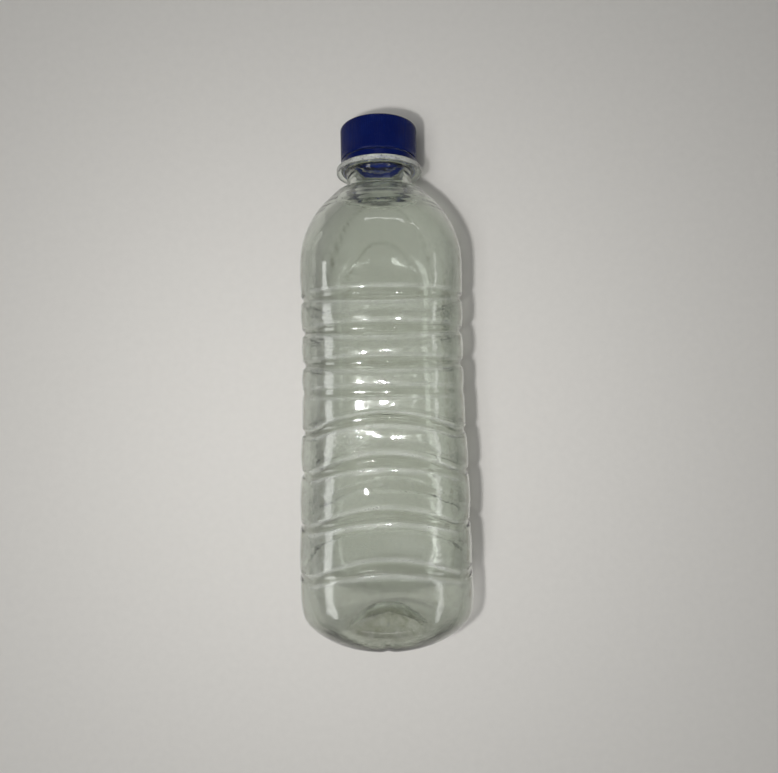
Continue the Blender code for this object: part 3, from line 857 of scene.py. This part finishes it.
    # light on its way to the floor passes straight through, and dims where it meets the wall edge
    # on: by one minus the cosine, cubed
    facing = addNode(tree, "ShaderNodeLayerWeight", {"Blend": 0.5})
    edge = addNode(tree, "ShaderNodeMath", {"operation": "POWER", 1: 3.0},
                   {0: facing.outputs["Facing"]})
    dim = addNode(tree, "ShaderNodeMix",
                  {"data_type": "RGBA", 6: linearColour(k["shadowFacing"]),
                   7: linearColour(k["shadowEdge"])}, {0: edge.outputs["Value"]})
    through = addNode(tree, "ShaderNodeBsdfTransparent", None, {"Color": dim.outputs[2]})
    path = addNode(tree, "ShaderNodeLightPath")
    mix = addNode(tree, "ShaderNodeMixShader", None,
                  {0: path.outputs["Is Shadow Ray"], 1: shader.outputs["BSDF"],
                   2: through.outputs["BSDF"]})
    # the mass of the plastic: only a long way through it, as along an edge, darkens it
    depth = addNode(tree, "ShaderNodeVolumeAbsorption",
                    {"Color": linearColour(k["mass"]), "Density": k["density"]})
    addNode(tree, "ShaderNodeOutputMaterial", None,
            {"Surface": mix.outputs["Shader"], "Volume": depth.outputs["Volume"]})
    return material


capLook = {
    # the inside's brighter blue is painted light, standing in for light that reaches into the cap
    "colour": "#000f4a", "worn": "#07266e", "inner": "#0031b4", "dust": "#5a6078",
    "ior": 1.49, "specular": 0.3, "roughness": 0.17, "roughSpread": 0.12,
    "wearShare": 0.4, "dustShare": 0.12,
    # how far across each pattern's features are, in millimetres. The moulded grain is drawn
    # coarser than it is, so that it shows.
    "patchSize": 6.25, "speckSize": 0.455, "grainSize": 0.385, "grainHeight": 0.1,
}


def makeMouldedPp(name, ribMask):
    # polypropylene, injection moulded: deep blue, satin, paler where its ribs are rubbed, dust
    # specks, and a brighter blue painted on the inside as painted light
    material, tree = newMaterial(name)
    k = capLook
    coords = addNode(tree, "ShaderNodeTexCoord")
    place = coords.outputs["Object"]
    patch = addNode(tree, "ShaderNodeTexNoise",
                    {"Scale": noiseScale(k["patchSize"]), "Detail": 4.0, "Roughness": 0.65},
                    {"Vector": place})
    rubbed = addNode(tree, "ShaderNodeMapRange",
                     {"From Min": 0.5, "From Max": 0.75, "To Max": k["wearShare"]},
                     {"Value": patch.outputs["Fac"]})
    wear = rubbed.outputs["Result"]
    if ribMask:
        ridge = addNode(tree, "ShaderNodeAttribute", {"attribute_name": ribMask})
        onRidges = addNode(tree, "ShaderNodeMath", {"operation": "MULTIPLY"},
                           {0: wear, 1: ridge.outputs["Fac"]})
        wear = onRidges.outputs["Value"]
    worn = addNode(tree, "ShaderNodeMix",
                   {"data_type": "RGBA", 6: linearColour(k["colour"]), 7: linearColour(k["worn"])},
                   {0: wear})
    speck = addNode(tree, "ShaderNodeTexNoise",
                    {"Scale": noiseScale(k["speckSize"]), "Detail": 1.0}, {"Vector": place})
    speckMask = addNode(tree, "ShaderNodeMapRange",
                        {"From Min": 0.66, "From Max": 0.8, "To Max": k["dustShare"]},
                        {"Value": speck.outputs["Fac"]})
    dusted = addNode(tree, "ShaderNodeMix", {"data_type": "RGBA", 7: linearColour(k["dust"])},
                     {0: speckMask.outputs["Result"], 6: worn.outputs[2]})
    # the inside is painted a brighter blue: painted light, standing in for light that reaches the
    # inside of the cap and band
    inner = addNode(tree, "ShaderNodeAttribute", {"attribute_name": "inner"})
    colour = addNode(tree, "ShaderNodeMix", {"data_type": "RGBA", 7: linearColour(k["inner"])},
                     {0: inner.outputs["Fac"], 6: dusted.outputs[2]})
    rough = addNode(tree, "ShaderNodeMapRange",
                    {"To Min": k["roughness"], "To Max": k["roughness"] + k["roughSpread"]},
                    {"Value": patch.outputs["Fac"]})
    grain = addNode(tree, "ShaderNodeTexNoise",
                    {"Scale": noiseScale(k["grainSize"]), "Detail": 2.0}, {"Vector": place})
    bump = addNode(tree, "ShaderNodeBump", {"Strength": 0.2, "Distance": k["grainHeight"] * mm},
                   {"Height": grain.outputs["Fac"]})
    shader = addNode(tree, "ShaderNodeBsdfPrincipled",
                     {"IOR": k["ior"], "Specular IOR Level": k["specular"]},
                     {"Base Color": colour.outputs[2], "Roughness": rough.outputs["Result"],
                      "Normal": bump.outputs["Normal"]})
    addNode(tree, "ShaderNodeOutputMaterial", None, {"Surface": shader.outputs["BSDF"]})
    return material


bottle.data.materials.append(makeBlownPet())
cap.data.materials.append(makeMouldedPp("mouldedPpCap", "ridge"))
band.data.materials.append(makeMouldedPp("mouldedPpBand", None))
print("materials made")


stageLook = {
    "floor": "#e4e1db", "floorSize": 6.0, "roughness": 0.85, "mottleSize": 3.33,
    "world": "#b4b6b8", "worldStrength": 0.22,
}

# lights: place in metres, point aimed at, size, power in watts, and what they show in. The key
# light fills the scene without a reflection of its own. The strips only give reflections: "gloss"
# ones in every face, "skin" ones in the outer faces only.
middle = (0.0, 0.0, 0.03)
lights = (
    ("keySoftbox", (-0.20, -0.32, 1.10), middle, (0.34, 0.34), 4.5, "fill"),
    ("stripLeft", (-0.46, -0.12, 0.66), (0.0, -0.12, 0.03), (0.20, 0.80), 1.6, "gloss"),
    ("stripRight", (0.42, -0.12, 0.68), (0.0, -0.12, 0.03), (0.08, 0.80), 0.50, "gloss"),
    ("stripFar", (0.0, 0.80, 0.95), (0.0, 0.0, 0.06), (0.45, 0.06), 0.40, "skin"),
    ("stripNear", (0.0, -0.80, 0.95), (0.0, 0.0, 0.06), (0.45, 0.06), 0.20, "skin"),
)

# lamps beside the lens: a flash, and two that only give glints. Offset from the lens, radius,
# power in watts, and what they show in.
lensLamps = (
    ("flash", (-0.024, -0.012), 0.0045, 0.30, "fill"),
    ("glintLamp", (-0.024, -0.012), 0.0042, 0.25, "gloss"),
    ("glintLampSmall", (0.009, -0.010), 0.003, 0.05, "gloss"),
)


def makeStage():
    # a sheet of matt paper with a faint mottle a few millimetres across, and an even sky
    k = stageLook
    size = k["floorSize"] / 2.0
    mesh = bpy.data.meshes.new("paleFloor")
    corners = [(-size, -size, 0.0), (size, -size, 0.0), (size, size, 0.0), (-size, size, 0.0)]
    mesh.from_pydata(corners, [], [(0, 1, 2, 3)])
    floor = bpy.data.objects.new("paleFloor", mesh)
    bpy.context.scene.collection.objects.link(floor)
    material, tree = newMaterial("mattPaperFloor")
    coords = addNode(tree, "ShaderNodeTexCoord")
    mottle = addNode(tree, "ShaderNodeTexNoise",
                     {"Scale": noiseScale(k["mottleSize"]), "Detail": 3.0},
                     {"Vector": coords.outputs["Object"]})
    shade = addNode(tree, "ShaderNodeMapRange", {"To Min": 0.97, "To Max": 1.03},
                    {"Value": mottle.outputs["Fac"]})
    colour = addNode(tree, "ShaderNodeMix",
                     {"data_type": "RGBA", "blend_type": "MULTIPLY", 0: 1.0,
                      6: linearColour(k["floor"])}, {7: shade.outputs["Result"]})
    shader = addNode(tree, "ShaderNodeBsdfPrincipled", {"Roughness": k["roughness"]},
                     {"Base Color": colour.outputs[2]})
    addNode(tree, "ShaderNodeOutputMaterial", None, {"Surface": shader.outputs["BSDF"]})
    mesh.materials.append(material)
    world = bpy.data.worlds.new("studio")
    world.use_nodes = True
    sky = world.node_tree.nodes["Background"]
    sky.inputs["Color"].default_value = linearColour(k["world"])
    sky.inputs["Strength"].default_value = k["worldStrength"]
    bpy.context.scene.world = world


def addLamp(name, place, size, power, shows):
    # an area light that looks straight down: two sizes make a rectangle, one a disc
    data = bpy.data.lights.new(name, "AREA")
    data.shape = "RECTANGLE" if len(size) == 2 else "DISK"
    data.size, data.size_y = size[0], size[-1]
    data.energy = power
    lamp = bpy.data.objects.new(name, data)
    lamp.location = place
    lamp.visible_camera = False
    lamp.visible_glossy = shows != "fill"
    lamp.visible_diffuse = shows == "fill"
    lamp.visible_transmission = shows == "gloss"
    bpy.context.scene.collection.objects.link(lamp)
    return lamp


makeStage()
for name, place, aim, size, power, shows in lights:
    lamp = addLamp(name, place, size, power, shows)
    # tip it towards its aim: about X, then about Y, so that a strip stays square to the bottle
    across, along, up = place[0] - aim[0], place[1] - aim[1], place[2] - aim[2]
    lamp.rotation_euler = (-math.atan2(along, up), math.atan2(across, math.hypot(along, up)), 0.0)
for name, offset, radius, power, shows in lensLamps:
    addLamp(name, camera.location + Vector((*offset, 0.0)), (2.0 * radius,), power, shows)
print("stage and lights placed")

scene = bpy.context.scene
scene.view_settings.view_transform = "Standard"
scene.cycles.max_bounces = 24
scene.cycles.transmission_bounces = 24
scene.cycles.transparent_max_bounces = 24
scene.cycles.caustics_reflective = False
scene.cycles.caustics_refractive = False
scene.cycles.sample_clamp_indirect = 4.0
scene.cycles.use_denoising = True
